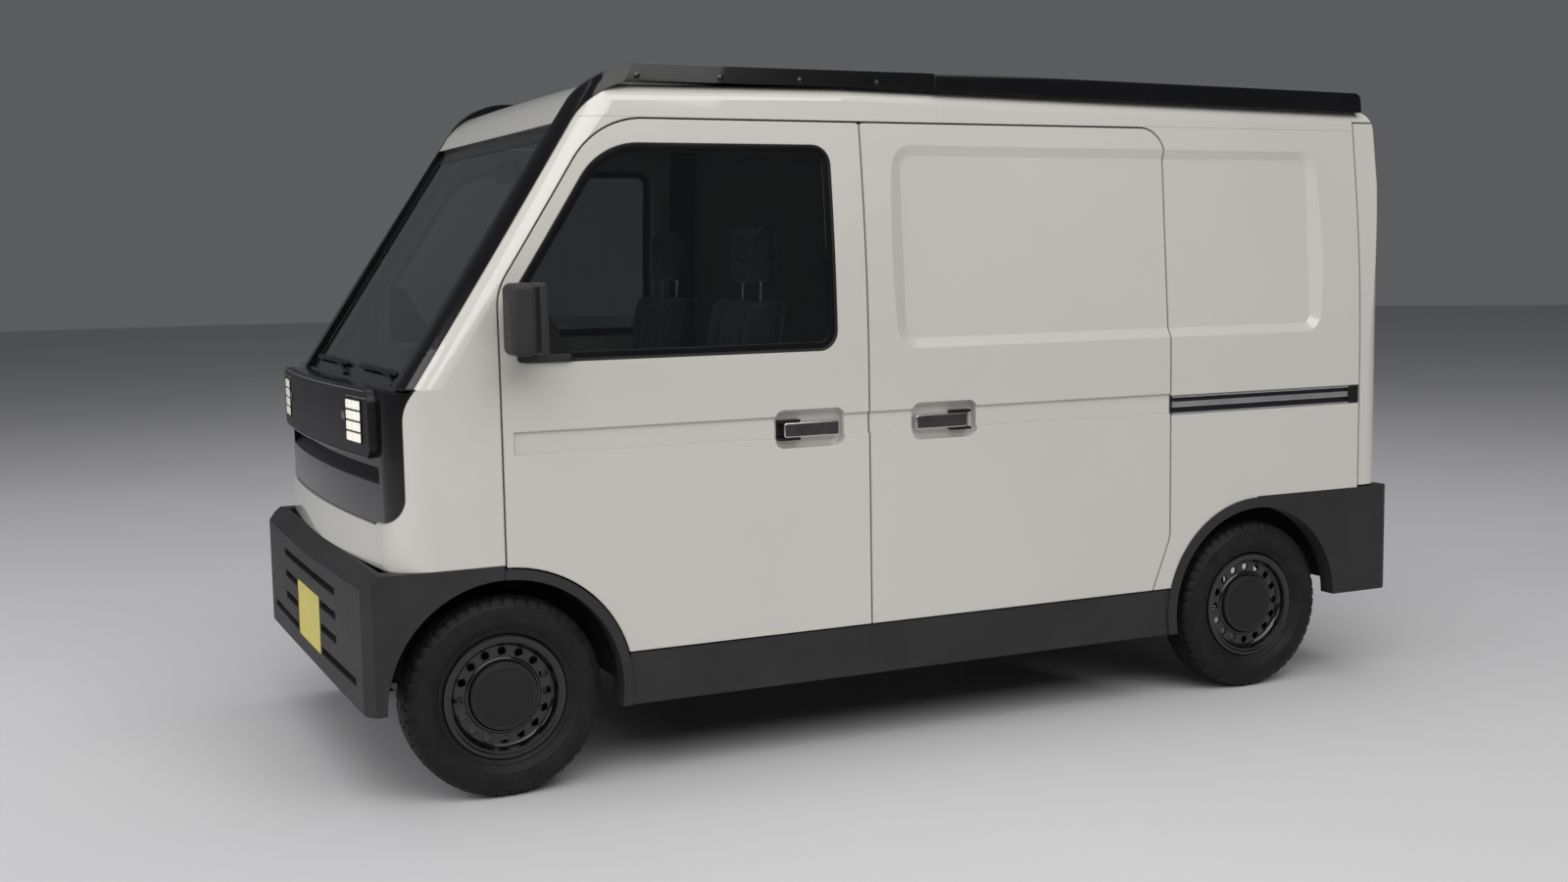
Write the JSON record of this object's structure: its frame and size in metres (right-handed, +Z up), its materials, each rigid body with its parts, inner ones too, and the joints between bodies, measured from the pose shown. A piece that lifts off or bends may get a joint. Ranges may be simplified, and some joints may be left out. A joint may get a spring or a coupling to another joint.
{
  "type": "small one-box light commercial van",
  "caption": "Small boxy one-box van with a black front frame and roof rails, hinged front doors, fixed sliding doors, a top-hinged tailgate, steered front wheels and a hollow cab and load bay.",
  "frame": {"origin": "on the ground under the centre of the van's bounding box", "axes": "+X forward, +Y to the van's left, +Z up"},
  "size_m": [3.395, 1.796, 1.92],
  "materials": {
    "paint_white": "gloss warm off-white paint",
    "gloss_black": "gloss black",
    "lamp_black": "satin black",
    "cladding": "grained dark grey plastic",
    "glass": "tinted glass",
    "lens": "warm white lamp lens",
    "tail_lens": "red lamp lens",
    "rail_metal": "brushed grey metal",
    "plate_yellow": "satin yellow, blank",
    "tyre": "matt black rubber",
    "rim_black": "gloss black paint",
    "steel": "black painted steel",
    "floor_mat": "dark grey floor covering",
    "seat_fabric": "dark grey woven cloth",
    "trim": "dark grey moulded plastic"
  },
  "bodies": {
    "root": {"front_panel": "paint_white", "roof_panel": "paint_white", "quarter_left": "paint_white", "quarter_right": "paint_white", "slide_door_left": "paint_white", "slide_door_right": "paint_white", "windshield": "glass", "arch_left": "gloss_black", "arch_right": "gloss_black", "nose_mask": "gloss_black", "lamp_panel": "lamp_black", "headlamps": "lens", "front_bumper": "cladding", "rear_bumper": "cladding", "sills": "cladding", "floor_pan": "floor_mat", "roof_hoop": "trim", "battery_pack": "steel", "power_unit": "steel", "rear_axle": "steel", "drive_unit": "steel", "seat_bases": "trim", "seat_cushions": "seat_fabric", "seat_backs": "seat_fabric", "dashboard": "trim", "steering_column": "trim", "slide_handles": "rail_metal", "slide_rails": "rail_metal", "number_plates": "plate_yellow", "wipers": "lamp_black"},
    "door_left": {"door_left": "paint_white", "door_glass_left": "glass", "door_handle_left": "rail_metal", "mirror_left": "lamp_black"},
    "door_right": {"door_right": "paint_white", "door_glass_right": "glass", "door_handle_right": "rail_metal", "mirror_right": "lamp_black"},
    "tailgate": {"tailgate": "paint_white", "tailgate_glass": "glass", "tail_lamps": "tail_lens"},
    "knuckle_left": {"knuckle_left": "steel"},
    "knuckle_right": {"knuckle_right": "steel"},
    "steering_wheel": {"steering_wheel": "trim"},
    "wheel_front_left": {"rim_front_left": "rim_black", "tyre_front_left": "tyre"},
    "wheel_front_right": {"rim_front_right": "rim_black", "tyre_front_right": "tyre"},
    "wheel_rear_left": {"rim_rear_left": "rim_black", "tyre_rear_left": "tyre"},
    "wheel_rear_right": {"rim_rear_right": "rim_black", "tyre_rear_right": "tyre"}
  },
  "joints": [
    {"name": "door_left_hinge", "type": "hinge", "parent": "root", "child": "door_left", "pos_m": [1.306, 0.731, 0.9], "axis": [0, 0, -1], "range_deg": [0, 65]},
    {"name": "door_right_hinge", "type": "hinge", "parent": "root", "child": "door_right", "pos_m": [1.306, -0.731, 0.9], "axis": [0, 0, 1], "range_deg": [0, 65]},
    {"name": "tailgate_hinge", "type": "hinge", "parent": "root", "child": "tailgate", "pos_m": [-1.65113, 0, 1.8035], "axis": [0, 1, 0], "range_deg": [0, 85]},
    {"name": "steer_left", "type": "hinge", "parent": "root", "child": "knuckle_left", "pos_m": [1.322, 0.59, 0.268], "axis": [0, 0, 1], "range_deg": [-33, 33]},
    {"name": "steer_right", "type": "hinge", "parent": "root", "child": "knuckle_right", "pos_m": [1.322, -0.59, 0.268], "axis": [0, 0, 1], "range_deg": [-33, 33]},
    {"name": "steering_wheel_turn", "type": "hinge", "parent": "root", "child": "steering_wheel", "pos_m": [1.15, -0.3325, 1.01], "axis": [-0.6691, 0, 0.7431], "range_deg": [-495, 495]},
    {"name": "wheel_front_left_spin", "type": "hinge", "parent": "knuckle_left", "child": "wheel_front_left", "pos_m": [1.322, 0.65, 0.268], "axis": [0, 1, 0], "continuous": true},
    {"name": "wheel_front_right_spin", "type": "hinge", "parent": "knuckle_right", "child": "wheel_front_right", "pos_m": [1.322, -0.65, 0.268], "axis": [0, 1, 0], "continuous": true},
    {"name": "wheel_rear_left_spin", "type": "hinge", "parent": "root", "child": "wheel_rear_left", "pos_m": [-1.139, 0.65, 0.268], "axis": [0, 1, 0], "continuous": true},
    {"name": "wheel_rear_right_spin", "type": "hinge", "parent": "root", "child": "wheel_rear_right", "pos_m": [-1.139, -0.65, 0.268], "axis": [0, 1, 0], "continuous": true}
  ],
  "couplings": [
    {"joint": "steer_right", "follows": "steer_left", "ratio": 1},
    {"joint": "steering_wheel_turn", "follows": "steer_left", "ratio": 15}
  ]
}
